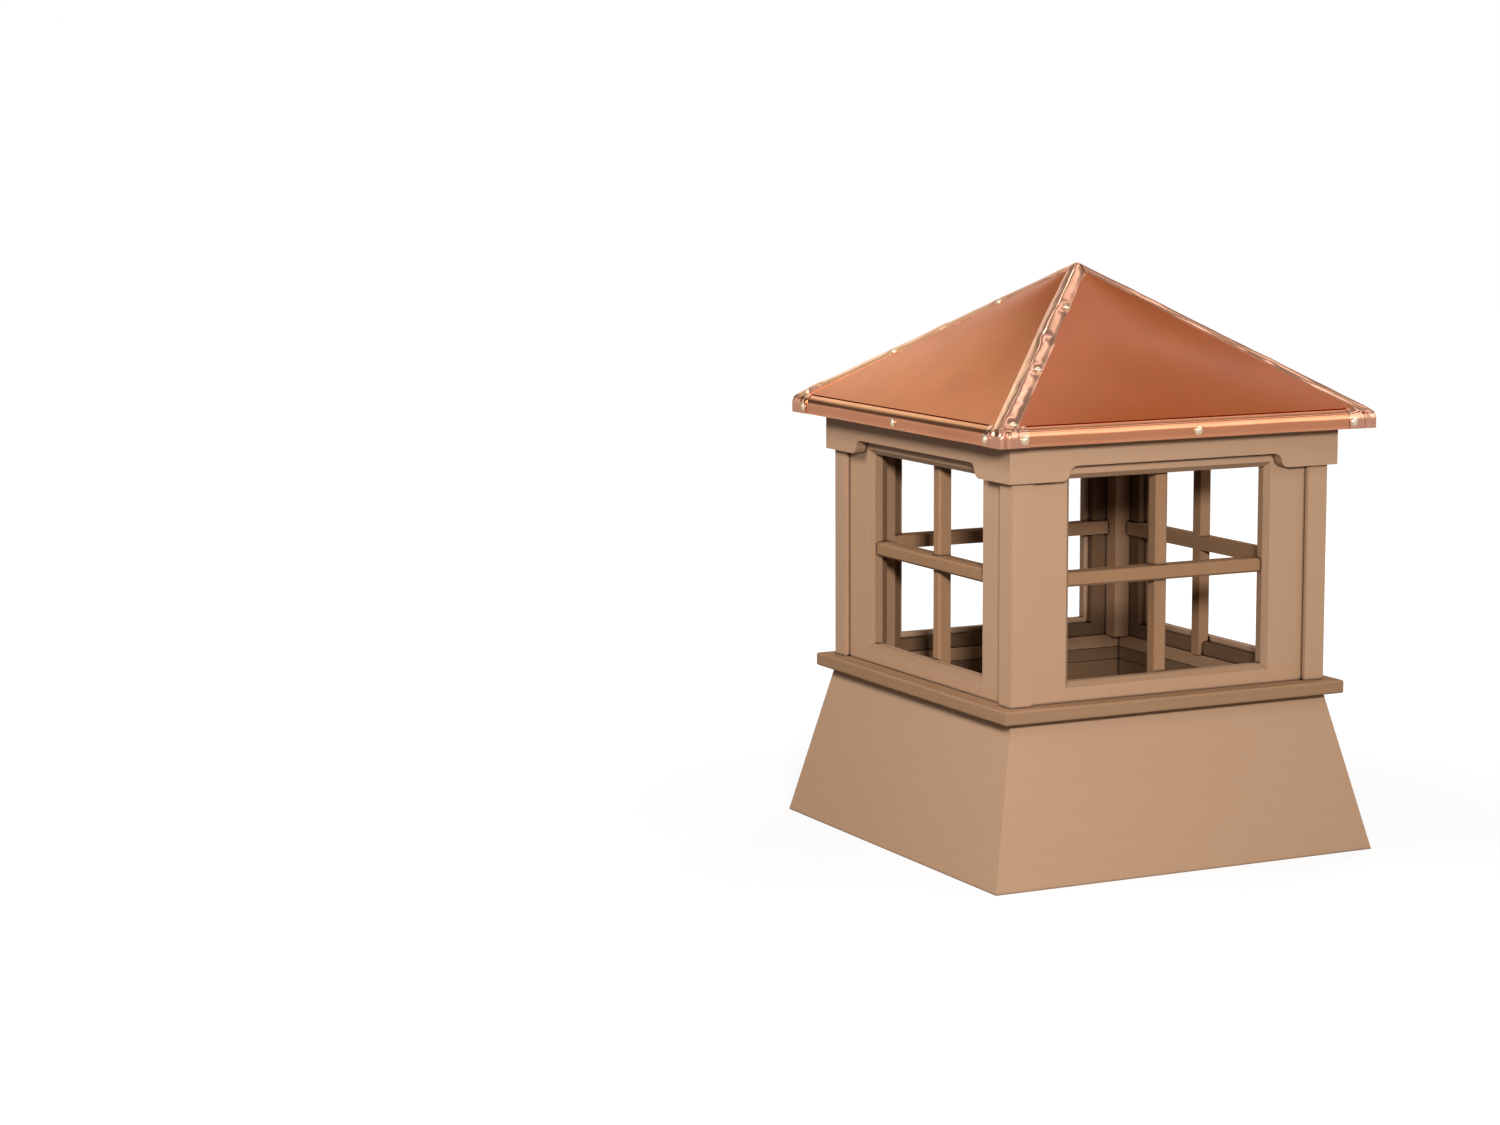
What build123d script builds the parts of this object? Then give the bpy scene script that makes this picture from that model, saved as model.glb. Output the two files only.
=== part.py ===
"""Roof cupola: a square PVC body with a window in each side, on a flared base, under a copper hip roof.

Model frame: millimetres, +Z up, origin on the ground at the middle of the base. The front faces -Y.
Every side piece is drawn for the front, and every corner piece for the front left corner.
Quarter turns about the Z axis then make the other three.
"""
import os
from math import atan2, cos, degrees, radians, sin, sqrt, tan

from build123d import *

# Overall sizes
base_width = 609.6
base_height = 220.0
body_width = 508.0
body_height = 356.0
roof_rise = 200.0
eave_overhang = 46.0

# Boards
board = 19.0
ledge_board_width = 63.5
ledge_overhang = 20.0
ledge_easing = 3.0
cleat_height = 19.0
batten_height = 38.0
inner_easing = 1.5
corner_board_width = 32.0
corner_board_thickness = 8.0
corner_easing = 1.5
post_size = 38.0

# Windows
window_width = 314.0
window_height = 276.5
sill_height = 27.0
window_bevel = 7.0
bar_size = 19.0
bar_bevel = 3.0
inner_frame_board = 12.0
inner_frame_setback = 8.0

# Frieze
frieze_projection = 9.5
frieze_end_height = 52.5
frieze_middle_height = 32.5
frieze_end_length = 81.5
ogee_run = 24.0

# Roof deck and its copper
deck_easing = 3.5
deck_joint = 0.5
soffit_bearing = 48.0
sheet = 1.5
eave_lap = 24.0
panel_setback = 9.0
hip_cap_width = 37.0
corner_clip_leg = 44.0

# Levels and half widths that follow from the sizes above
half_base = base_width / 2
half_body = body_width / 2
ledge_bottom = base_height
ledge_top = ledge_bottom + board
body_top = ledge_top + body_height
window_bottom = ledge_top + sill_height
window_top = window_bottom + window_height
half_window = window_width / 2
wall_outer = half_body - corner_board_thickness
wall_inner = wall_outer - board
frame_inner = wall_inner - inner_frame_board
post_inner = wall_inner - post_size
frieze_bottom = body_top - frieze_end_height
half_ledge = half_body + ledge_overhang
ledge_inner = half_ledge - ledge_board_width
half_eave = half_body + eave_overhang
half_deck = half_eave - sheet
deck_edge_top = body_top + board
roof_pitch = atan2(roof_rise, half_deck)
reach = 2 * base_width
above_all = 2 * (deck_edge_top + roof_rise)

SIDES = {"front": 0, "right": 90, "back": 180, "left": 270}
CORNERS = {"front_left": 0, "front_right": 90, "back_right": 180, "back_left": 270}


def side_profile(points):
    """Outline in the plane across the front side: (distance outward from the axis, height)."""
    return Polyline([(0, -outward, height) for outward, height in points], close=True)


def front_wedge(joint=0.0):
    """Quarter of the plan in front of both diagonals, short of them by half an open mitre joint."""
    back = joint / sqrt(2)
    plan = Polygon((0, -back), (-reach, -reach - back), (reach, -reach - back), align=None)
    return extrude(plan, amount=above_all)


def run_along_front(face, joint=0.0):
    """Extrude an outline across the front side along X, and mitre both ends at 45 degrees."""
    return extrude(face, amount=reach, both=True) & front_wedge(joint)


def base_panel():
    """Flared board: it leans out from the body's width at the top to the foot's width."""
    lean = atan2(half_base - half_body, base_height)
    level_thickness = board / cos(lean)
    outline = side_profile([
        (half_base, 0),
        (half_body, base_height),
        (half_body - level_thickness, base_height),
        (half_base - level_thickness, 0),
    ])
    return run_along_front(make_face(outline))


def base_strip(top, height):
    """Strip inside the base, flush with the ledge's inner edge and with its back on the leaning board."""
    lean = (half_base - half_body) / base_height
    board_back = half_body - board / cos(atan2(half_base - half_body, base_height))
    outline = make_face(side_profile([
        (ledge_inner, top - height),
        (board_back + lean * (base_height - top + height), top - height),
        (board_back + lean * (base_height - top), top),
        (ledge_inner, top),
    ]))
    return run_along_front(ease_inner_edge(outline))


def ease_inner_edge(outline):
    """Round the two corners of a board's outline that show on the ledge's inner plane."""
    corners = outline.vertices().filter_by(lambda v: v.Y > -ledge_inner - inner_easing)
    return fillet(corners, inner_easing)


def ledge():
    """Mitred board that overhangs the base and the body, with an eased nose."""
    outline = make_face(side_profile([
        (ledge_inner, ledge_bottom),
        (half_ledge, ledge_bottom),
        (half_ledge, ledge_top),
        (ledge_inner, ledge_top),
    ]))
    nose = outline.vertices().filter_by(lambda v: v.Y < -half_ledge + ledge_easing)
    return run_along_front(ease_inner_edge(fillet(nose, ledge_easing)))


def corner_board():
    """L-shaped board over the mitre of two wall panels, with eased outer edges, up to the frieze."""
    outer = half_body
    end = half_body - corner_board_width
    plan = Polygon(
        (-outer, -outer),
        (-end, -outer),
        (-end, -wall_outer),
        (-wall_outer, -wall_outer),
        (-wall_outer, -end),
        (-outer, -end),
        align=None,
    )
    outward = plan.vertices().sort_by(lambda v: v.X + v.Y)
    plan = fillet(outward[0], corner_easing)
    return Pos(0, 0, ledge_top) * extrude(plan, amount=frieze_bottom - ledge_top)


def wall_panel():
    """Board set back behind the corner boards, cut through for a window with a bevelled outer edge."""
    wall = Pos(0, -wall_outer + board / 2, ledge_top + body_height / 2) * Box(
        2 * wall_outer, board, body_height
    )
    opening = Pos(0, -wall_outer + board / 2, (window_bottom + window_top) / 2) * Box(
        window_width, board, window_height
    )
    panel = wall - opening
    rim = [
        edge for edge in panel.edges().group_by(Axis.Y)[0]
        if abs(edge.center().X) <= half_window + 1
        and window_bottom - 1 <= edge.center().Z <= window_top + 1
    ]
    return chamfer(rim, window_bevel) & front_wedge()


def window_frame():
    """Inner frame behind the wall panel. Its opening is wider, so the panel's edge hides it."""
    middle = (window_bottom + window_top) / 2
    frame = Pos(0, -wall_inner + inner_frame_board / 2, ledge_top + body_height / 2) * Box(
        2 * post_inner, inner_frame_board, body_height
    )
    opening = Pos(0, -wall_inner + inner_frame_board / 2, middle) * Box(
        window_width + 2 * inner_frame_setback,
        inner_frame_board,
        window_height + 2 * inner_frame_setback,
    )
    frame -= opening
    rim = [
        edge for edge in frame.edges().group_by(Axis.Y)[-1]
        if abs(edge.center().X) <= half_window + inner_frame_setback + 1
        and window_bottom - inner_frame_setback - 1 <= edge.center().Z
        and edge.center().Z <= window_top + inner_frame_setback + 1
    ]
    return fillet(rim, inner_easing)


def window_grille():
    """Level bar halved over an upright. Both run on behind the panel and lap over the inner frame."""
    middle = (window_bottom + window_top) / 2
    level_bar = Pos(0, -wall_inner, middle) * Box(window_width, bar_size, bar_size)
    level_front = level_bar.edges().filter_by(Axis.X).group_by(Axis.Y)[0]
    level_bar = chamfer(level_front, bar_bevel)
    level_tongue = Pos(0, -wall_inner + bar_size / 4, middle) * Box(
        window_width + 2 * inner_frame_setback, bar_size / 2, bar_size
    )
    upright = Pos(0, -wall_inner + bar_size / 2, middle) * Box(
        bar_size, bar_size, window_height + 2 * inner_frame_setback
    )
    upright_edges = upright.edges().filter_by(Axis.Z).group_by(Axis.Y)[0]
    upright = chamfer(upright_edges, bar_bevel)
    lap_depth = bar_size - inner_frame_board
    lap_middle = -frame_inner + lap_depth / 2
    upright_lap = Pos(0, lap_middle, ledge_top + body_height / 2) * Box(bar_size, lap_depth, body_height)
    level_lap = Pos(0, lap_middle, middle) * Box(2 * post_inner, lap_depth, bar_size)
    return level_bar + level_tongue + upright + upright_lap + level_lap


def inner_post():
    """Square post in the inner corner, on the ledge."""
    middle = wall_inner - post_size / 2
    return Pos(-middle, -middle, ledge_top + body_height / 2) * Box(post_size, post_size, body_height)


def frieze():
    """Mitred board on the wall panel. Its lower edge steps up in an ogee from each end."""
    half_frieze = half_body + frieze_projection
    ogee_start = half_frieze - frieze_end_length
    ogee_end = ogee_start - ogee_run
    high = body_top - frieze_middle_height
    with BuildSketch(Plane.XZ) as outline:
        with BuildLine():
            for s in (-1, 1):
                Line((s * half_frieze, body_top), (s * half_frieze, frieze_bottom))
                Line((s * half_frieze, frieze_bottom), (s * ogee_start, frieze_bottom))
                lower = JernArc(
                    (s * ogee_start, frieze_bottom), (-s, 0), ogee_radius(), s * -ogee_angle()
                )
                JernArc(lower @ 1, lower % 1, ogee_radius(), s * ogee_angle())
            Line((-ogee_end, high), (ogee_end, high))
            Line((-half_frieze, body_top), (half_frieze, body_top))
        make_face()
    face = Pos(0, -wall_outer, 0) * outline.sketch
    return extrude(face, amount=half_frieze - wall_outer) & front_wedge()


def ogee_angle():
    """Turn of each of the two equal arcs: half of it has the slope of the whole step."""
    return 2 * degrees(atan2(frieze_end_height - frieze_middle_height, ogee_run))


def ogee_radius():
    """Radius of each arc, from the run that the two of them cover."""
    return ogee_run / 2 / sin(radians(ogee_angle()))


def slope_point(outward, lift=0):
    """Point on the roof slope: the plane through the deck's top edge, raised square to itself by lift."""
    height = deck_edge_top + (half_deck - outward) * tan(roof_pitch) + lift / cos(roof_pitch)
    return (outward, height)


def roof_board():
    """Sloping deck board with a plumb cut at the eave, its upper edge eased for the copper."""
    outline = make_face(side_profile([
        (half_deck, body_top),
        (half_deck, deck_edge_top),
        slope_point(0),
        slope_point(0, -board),
        slope_outward(body_top, -board),
    ]))
    outline = fillet(edge_vertex(outline, half_deck, deck_edge_top), deck_easing)
    return run_along_front(outline, deck_joint)


def soffit_board():
    """Level board on the walls. Its outer edge is bevelled to the underside of the roof board."""
    inner = half_body - soffit_bearing
    outline = side_profile([
        (inner, body_top),
        slope_outward(body_top, -board),
        slope_outward(body_top + board, -board),
        (inner, body_top + board),
    ])
    return run_along_front(make_face(outline))


def slope_outward(height, lift):
    """Point where the slope raised by lift comes down to a height."""
    level = slope_point(0, lift)[1]
    return ((level - height) / tan(roof_pitch), height)


def edge_vertex(face, outward, height):
    """The outline's vertex nearest to a place across the side."""
    return face.vertices().sort_by_distance((0, -outward, height))[0]


def eave_trim():
    """Folded copper edge: a band down the deck's edge, bent over it and up under the roof panel."""
    lap_end = half_deck - eave_lap * cos(roof_pitch)
    bend_outer = slope_point(half_eave, sheet)
    outline = make_face(side_profile([
        (half_deck, body_top),
        (half_eave, body_top),
        bend_outer,
        slope_point(lap_end, sheet),
        slope_point(lap_end),
        (half_deck, deck_edge_top),
    ]))
    outline = fillet(edge_vertex(outline, *bend_outer), deck_easing + sheet)
    outline = fillet(edge_vertex(outline, half_deck, deck_edge_top), deck_easing)
    return run_along_front(outline)


def roof_panel():
    """Triangular copper sheet on the trim's lap, from just above the bend to the apex."""
    foot = half_deck - panel_setback
    outline = side_profile([
        slope_point(foot, sheet),
        slope_point(foot, 2 * sheet),
        slope_point(0, 2 * sheet),
        slope_point(0, sheet),
    ])
    return run_along_front(make_face(outline))


def roof_pyramid(lift):
    """Solid under the four roof planes when they are raised by lift."""
    base_half = half_deck + (lift / cos(roof_pitch)) / tan(roof_pitch)
    foot = Pos(0, 0, deck_edge_top) * Rectangle(2 * base_half, 2 * base_half)
    return loft([foot.face(), Vertex(0, 0, slope_point(0, lift)[1])])


def hip_cap():
    """Folded copper strip over the front left hip, mitred against its neighbours at the apex."""
    shell = roof_pyramid(3 * sheet) - roof_pyramid(2 * sheet)
    strip = Rot(0, 0, 45) * Box(2 * reach, hip_cap_width, 2 * above_all)
    quarter = Pos(-half_eave / 2, -half_eave / 2, 0) * Box(half_eave, half_eave, 2 * above_all)
    return shell & strip & quarter


def corner_clip():
    """Copper angle over the mitre of the eave bands."""
    outer = half_eave + sheet
    end = half_eave - corner_clip_leg
    plan = Polygon(
        (-outer, -outer), (-end, -outer), (-end, -half_eave),
        (-half_eave, -half_eave), (-half_eave, -end), (-outer, -end),
        align=None,
    )
    height = slope_point(half_eave, sheet)[1] - deck_easing - sheet - body_top
    return Pos(0, 0, body_top) * extrude(plan, amount=height)


def all_round(shape):
    """The piece with its three quarter turns, joined where they meet."""
    return Part() + [Rot(0, 0, turn) * shape for turn in SIDES.values()]


def write(name, shape):
    export_step(shape, f"parts/{name}.step")


def main():
    os.makedirs("parts", exist_ok=True)
    side_pieces = {
        "base_panel": base_panel(),
        "ledge": ledge(),
        "wall_panel": wall_panel(),
        "window_frame": window_frame(),
        "window_grille": window_grille(),
        "frieze": frieze(),
        "roof_panel": roof_panel(),
        "eave_trim": eave_trim(),
    }
    corner_pieces = {
        "corner_board": corner_board(),
        "hip_cap": hip_cap(),
    }
    for places, pieces in ((SIDES, side_pieces), (CORNERS, corner_pieces)):
        for place, turn in places.items():
            for name, shape in pieces.items():
                write(f"{name}_{place}", Rot(0, 0, turn) * shape)
    write("base_cleat", all_round(base_strip(base_height, cleat_height)))
    write("base_batten", all_round(base_strip(base_height - cleat_height, batten_height)))
    write("inner_posts", all_round(inner_post()))
    write("corner_clips", all_round(corner_clip()))
    write("soffit", all_round(soffit_board()))
    write("roof_boards", all_round(roof_board()))


main()
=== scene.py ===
# %% [markdown]
# # A roof cupola with a copper hip roof
#
# A cupola like this stands on a ridge and lets air or light into the roof below. Its boards are
# cedar-coloured PVC, sawn and mitred like timber, and its roof is copper sheet on a plywood deck. The packed
# construction already holds the boards, the window bars and the deck at their real size, so this lesson
# gives them their finish and adds what the metal worker's hands leave behind: sheets that bulge a little,
# strips that crinkle where they are folded over the hips, and the screws that hold them.

import math

import bmesh
import bpy
import numpy as np
from mathutils import Matrix, Vector


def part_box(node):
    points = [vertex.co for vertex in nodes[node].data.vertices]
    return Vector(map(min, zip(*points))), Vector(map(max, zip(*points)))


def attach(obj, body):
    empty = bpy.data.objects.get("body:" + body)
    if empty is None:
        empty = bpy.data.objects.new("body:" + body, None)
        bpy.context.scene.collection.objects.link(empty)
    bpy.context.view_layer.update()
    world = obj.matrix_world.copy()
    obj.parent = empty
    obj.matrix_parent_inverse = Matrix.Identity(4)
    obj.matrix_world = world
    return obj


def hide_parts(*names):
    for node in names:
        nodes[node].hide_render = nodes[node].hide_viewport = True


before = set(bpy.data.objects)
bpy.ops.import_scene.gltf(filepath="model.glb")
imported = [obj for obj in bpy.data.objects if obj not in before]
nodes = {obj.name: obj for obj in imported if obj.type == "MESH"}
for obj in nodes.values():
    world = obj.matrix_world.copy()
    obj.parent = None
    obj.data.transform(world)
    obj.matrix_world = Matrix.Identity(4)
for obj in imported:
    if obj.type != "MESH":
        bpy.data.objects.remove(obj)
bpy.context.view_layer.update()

# %% [markdown]
# ## Colours and shader nodes
#
# A paint chart gives a colour as an sRGB hex value, but a renderer adds up light, so each value is turned to
# linear first. One small function adds every shader node with its settings and its links. A material then
# reads as a list of what feeds what, and there is only one place to look when a name changes.

# %% Helpers for materials
MM = 0.001


def linear(hex_colour):
    """sRGB hex to linear RGBA: c / 12.92 up to 0.04045, and ((c + 0.055) / 1.055) ** 2.4 above."""
    srgb = np.array([int(hex_colour[i:i + 2], 16) for i in (1, 3, 5)]) / 255
    low, high = srgb / 12.92, ((srgb + 0.055) / 1.055) ** 2.4
    return (*np.where(srgb <= 0.04045, low, high).tolist(), 1.0)


def add_node(tree, kind, settings=None, **inputs):
    """Add a shader node. An input is named with underscores for spaces, or by its number as _0, _1.
    A Mix node takes its two colours at _6 and _7, and a Map Range node its two ranges at _1 to _4."""
    node = tree.nodes.new(kind)
    for name, value in (settings or {}).items():
        setattr(node, name, value)
    for name, value in inputs.items():
        socket = node.inputs[int(name[1:])] if name[1:].isdigit() else node.inputs[name.replace("_", " ")]
        if isinstance(value, bpy.types.NodeSocket):
            tree.links.new(value, socket)
        else:
            socket.default_value = value
    return node


def new_material(name):
    """Empty node material and its tree, for the caller to fill."""
    material = bpy.data.materials.new(name)
    material.use_nodes = True
    material.node_tree.nodes.clear()
    return material, material.node_tree


print("cedar tan in linear light:", [round(part, 3) for part in linear("#B79274")])

# %% [markdown]
# ## Cedar-coloured PVC board
#
# The boards are cellular PVC with a cedar-coloured cap, rolled while it is warm so that a faint grain runs
# along the board. It is a matt plastic: almost all of its light is diffuse, and a roughness of 0.65 leaves
# only a soft sheen. Noise squeezed across the board and stretched along it gives the streaks, and a finer
# one the pressed pores.
#
# The cap is only on the rolled faces. Where a board was sawn, moulded or ripped, its darker core shows, and
# a board that is cut on every side has no sheen at all. The direction of a face tells which of the two it
# is, so one recipe serves both. Painted shade darkens the grooves and inner corners where boards meet. The
# Ambient Occlusion node finds them, because it measures how much of the space near a point is open. The
# grain has to follow each board, so every axis has its own material.

# %% Cedar PVC: colours and measures
CAPPED = ("#B79274", "#B18C6E")
SAWN = ("#A48163", "#9A775B")
RIPPED = ("#A27D5E", "#987355")
# Painted shade: the boards inside the walls get darker tans that stand in for the shade inside the cupola.
SHADED_INNER_TANS = ("#765B44", "#6B513C")
PVC_ROUGHNESS = 0.65
PVC_IOR = 1.5
CAP_GLOSS = 0.35
STREAK = (5 * MM, 180 * MM)
PORE = (1.2 * MM, 14 * MM)
PORE_DEPTH = 0.03 * MM
PORE_STRENGTH = 0.5
# Painted shade in grooves and inner corners: this dark colour is mixed in where the Ambient Occlusion node
# finds the space within the reach closed in, fully at 0.54 and not at all from 0.84.
GROOVE_SHADE_COLOUR = "#20130B"
GROOVE_REACH = 5 * MM
FULLY_SHADED, UNSHADED = 0.54, 0.84
ALL_CORE, ALL_CAP = 0.92, 0.97
print("streaks (width, length):", STREAK, "pores:", PORE)


# %% Cedar PVC: the cap over the core
def cap_over_core(tree, cap, streaks, planed):
    """The cap's colour on faces square to the planed axes, and the sawn core's on all others. What counts is
    the largest part of the normal along those axes: up to 0.92 is all core, and from 0.97 all cap."""
    normal = add_node(tree, "ShaderNodeNewGeometry").outputs["Normal"]
    parts = add_node(tree, "ShaderNodeSeparateXYZ", Vector=normal)
    square = [
        add_node(tree, "ShaderNodeMath", {"operation": "ABSOLUTE"}, _0=parts.outputs[axis]).outputs[0]
        for axis in planed
    ]
    most = add_node(tree, "ShaderNodeMath", {"operation": "MAXIMUM"}, _0=square[0], _1=square[-1])
    kept = add_node(
        tree, "ShaderNodeMapRange", Value=most.outputs[0], _1=ALL_CORE, _2=ALL_CAP, _3=0.0, _4=1.0
    )
    core = add_node(
        tree, "ShaderNodeMix", {"data_type": "RGBA"}, _0=streaks, _6=linear(SAWN[1]), _7=linear(SAWN[0])
    )
    both = add_node(
        tree, "ShaderNodeMix", {"data_type": "RGBA"}, _0=kept.outputs[0], _6=core.outputs[2], _7=cap
    )
    return both.outputs[2]


print("a face is all cap within", round(math.degrees(math.acos(ALL_CAP)), 1), "degrees of its planed axis")


# %% Cedar PVC: the recipe for a board
def cedar_board(name, along, tans, planed="", gloss=CAP_GLOSS):
    """PVC board: two close tans in soft streaks, a pressed grain along one axis, and painted shade where
    boards meet. A board with planed axes shows its core on the faces that aren't square to them."""
    material, tree = new_material(f"cedar_pvc_{name}_{along.lower()}")
    place = add_node(tree, "ShaderNodeTexCoord").outputs["Object"]
    grain = {}
    for kind, (width, length) in (("streaks", STREAK), ("pores", PORE)):
        scale = [1 / width] * 3
        scale["XYZ".index(along)] = 1 / length
        squeezed = add_node(tree, "ShaderNodeMapping", Vector=place, Scale=scale)
        grain[kind] = add_node(
            tree, "ShaderNodeTexNoise", Scale=1.0, Detail=3.0, Roughness=0.5, Vector=squeezed.outputs[0]
        ).outputs[0]
    streaked = add_node(
        tree, "ShaderNodeMix", {"data_type": "RGBA"}, _0=grain["streaks"],
        _6=linear(tans[1]), _7=linear(tans[0]),
    )
    colour = streaked.outputs[2]
    if planed:
        colour = cap_over_core(tree, colour, grain["streaks"], planed)
    # Painted shade: the colour is darkened towards the groove colour where little space near the point is
    # open.
    nearby = add_node(tree, "ShaderNodeAmbientOcclusion", {"samples": 6}, Distance=GROOVE_REACH)
    unshaded = add_node(
        tree, "ShaderNodeMapRange", Value=nearby.outputs["AO"], _1=FULLY_SHADED, _2=UNSHADED, _3=0.0, _4=1.0
    )
    groove_shaded = add_node(
        tree, "ShaderNodeMix", {"data_type": "RGBA"}, _0=unshaded.outputs[0],
        _6=linear(GROOVE_SHADE_COLOUR), _7=colour,
    )
    pressed = add_node(
        tree, "ShaderNodeBump", Strength=PORE_STRENGTH, Distance=PORE_DEPTH, Height=grain["pores"]
    )
    shader = add_node(
        tree, "ShaderNodeBsdfPrincipled", Base_Color=groove_shaded.outputs[2], Roughness=PVC_ROUGHNESS,
        IOR=PVC_IOR, Specular_IOR_Level=gloss, Normal=pressed.outputs[0],
    )
    add_node(tree, "ShaderNodeOutputMaterial", Surface=shader.outputs[0])
    return material


# The painted groove shade reaches this far out of a groove.
print("dust reaches", GROOVE_REACH, "out of a groove")

# %% Cedar PVC: one material for each kind of board and each axis
# Rolled on all its wide faces, so it is an even tan with a soft sheen: the base boards.
capped = {along: cedar_board("capped", along, CAPPED) for along in "XY"}
# Cut to size, so the rolled faces are tan and the cut edges darker: corner boards and wall panels.
upright = {
    planed: cedar_board(f"upright_{planed.lower()}", "Z", CAPPED, planed) for planed in ("X", "Y", "XY")
}
# Moulded along its lower edge, so only its flat face keeps the cap: the frieze.
moulded = {along: cedar_board("moulded", along, CAPPED, planed) for along, planed in ("XY", "YX")}
# Sawn or eased on every side, so it is dull and a little darker: the ledge and the inner posts.
sawn = {along: cedar_board("sawn", along, SAWN, gloss=0.0) for along in "XYZ"}
# Ripped into thin strips, so it is dull all round: the window bars.
ripped = cedar_board("ripped", "Z", RIPPED, gloss=0.0)
# Painted shade: darker tans for the boards and strips inside the walls, where the cupola's interior lies in
# shade.
shaded_inner_board = {along: cedar_board("inner", along, SHADED_INNER_TANS, gloss=0.0) for along in "XZ"}
print("cedar PVC:", sorted(finish.name[10:] for finish in bpy.data.materials if "cedar" in finish.name))

# %% [markdown]
# ## Copper and plated steel
#
# A metal's colour is the colour of its reflection, and it has no diffuse part, so copper is told by what it
# mirrors. Here it comes in three states. The roof sheets were rolled, handled and lacquered: they have
# started to brown, which makes them redder and rougher, and the lacquer lays a weak clear shine over them.
# The caps and corner strips are freshly bent and polished by the fingers that folded them, so they are paler
# and smoother, and the eave bands lie between the two. The screws are steel with a thin yellowish plating.
# Cloudy noise varies the colour and the roughness, as finger marks do, and a fine bump stands for the dents
# that are too shallow to model. At a grazing angle a metal keeps a tint of its own: reddish on the browned
# sheets and nearly white on the trim.

# %% Metal finishes: colours and measures
SHEET_COPPER = ("#C9652A", "#C05E26")
TRIM_COPPER = ("#F2BAA0", "#CF8E6C")
BAND_COPPER = ("#EDA37C", "#CF845E")
PLATING = ("#F4E6CE", "#E2CBA8")
SHEET_GRAZING = (1.0, 0.68, 0.45, 1.0)
TRIM_GRAZING = (1.0, 0.92, 0.85, 1.0)
SHEET_ROUGHNESS = 0.33
TRIM_ROUGHNESS = 0.17
PLATING_ROUGHNESS = 0.2
ROUGHNESS_SWING = 0.04
SHEET_DENT = 0.004 * MM
TRIM_DENT = 0.02 * MM
DENT_SIZE = 22 * MM
CLOUD_SIZE = 90 * MM
CLOUD_LOW, CLOUD_HIGH = 0.3, 0.7
LACQUER = 0.6
LACQUER_ROUGHNESS = 0.18
LACQUER_IOR = 1.5
print("clouds:", CLOUD_SIZE, "dents:", DENT_SIZE)


# %% Metal finishes: the recipe
def rolled_metal(name, tones, grazing, roughness, dent, lacquer=0.0):
    """Sheet metal: a bright and a browned tone in clouds, roughness that falls as the clouds brighten,
    shallow dents, a tint for grazing light and a lacquer of the given strength."""
    material, tree = new_material(name)
    place = add_node(tree, "ShaderNodeTexCoord").outputs["Object"]
    clouds = add_node(
        tree, "ShaderNodeTexNoise", Scale=1 / CLOUD_SIZE, Detail=4.0, Roughness=0.6, Vector=place
    )
    coloured = add_node(
        tree, "ShaderNodeMix", {"data_type": "RGBA"}, _0=clouds.outputs[0],
        _6=linear(tones[1]), _7=linear(tones[0]),
    )
    handled = add_node(
        tree, "ShaderNodeMapRange", Value=clouds.outputs[0], _1=CLOUD_LOW, _2=CLOUD_HIGH,
        _3=roughness + ROUGHNESS_SWING, _4=roughness - ROUGHNESS_SWING,
    )
    dents = add_node(
        tree, "ShaderNodeTexNoise", Scale=1 / DENT_SIZE, Detail=2.0, Roughness=0.5, Vector=place
    )
    dented = add_node(tree, "ShaderNodeBump", Strength=1.0, Distance=dent, Height=dents.outputs[0])
    shader = add_node(
        tree, "ShaderNodeBsdfPrincipled", Base_Color=coloured.outputs[2], Metallic=1.0,
        Roughness=handled.outputs[0], Normal=dented.outputs[0], Specular_Tint=grazing,
        Coat_Weight=lacquer, Coat_Roughness=LACQUER_ROUGHNESS, Coat_IOR=LACQUER_IOR,
    )
    add_node(tree, "ShaderNodeOutputMaterial", Surface=shader.outputs[0])
    return material


# Rolled, browned and lacquered: a deep orange whose reflections are blurred.
copper_sheet = rolled_metal(
    "copper_sheet", SHEET_COPPER, SHEET_GRAZING, SHEET_ROUGHNESS, SHEET_DENT, LACQUER
)
# Freshly folded and rubbed bright: pale pink reflections with a clear edge.
copper_trim = rolled_metal("copper_trim", TRIM_COPPER, TRIM_GRAZING, TRIM_ROUGHNESS, TRIM_DENT)
# Bent but left unpolished: as smooth as the trim and a little browner.
copper_band = rolled_metal("copper_band", BAND_COPPER, TRIM_GRAZING, TRIM_ROUGHNESS, TRIM_DENT)
# Plated thinly over the steel: almost white against the copper.
plated_steel = rolled_metal("plated_steel", PLATING, TRIM_GRAZING, PLATING_ROUGHNESS, TRIM_DENT)
print("metal:", copper_sheet.name, copper_trim.name, copper_band.name, plated_steel.name)

# %% [markdown]
# ## Plywood
#
# The deck under the copper is softwood plywood, which shows only from below, between the walls. Its face
# veneer is peeled off a turning log, so it has long wavy bands and a dry, dull surface. A wave texture is
# bent by noise and stretched along the board.

# %% Plywood
VENEER_TANS = ("#A98A62", "#8A6A46")
VENEER_BAND = 9 * MM
VENEER_STRETCH = 0.12
VENEER_BEND = 6.0
VENEER_ROUGHNESS = 0.75


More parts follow.
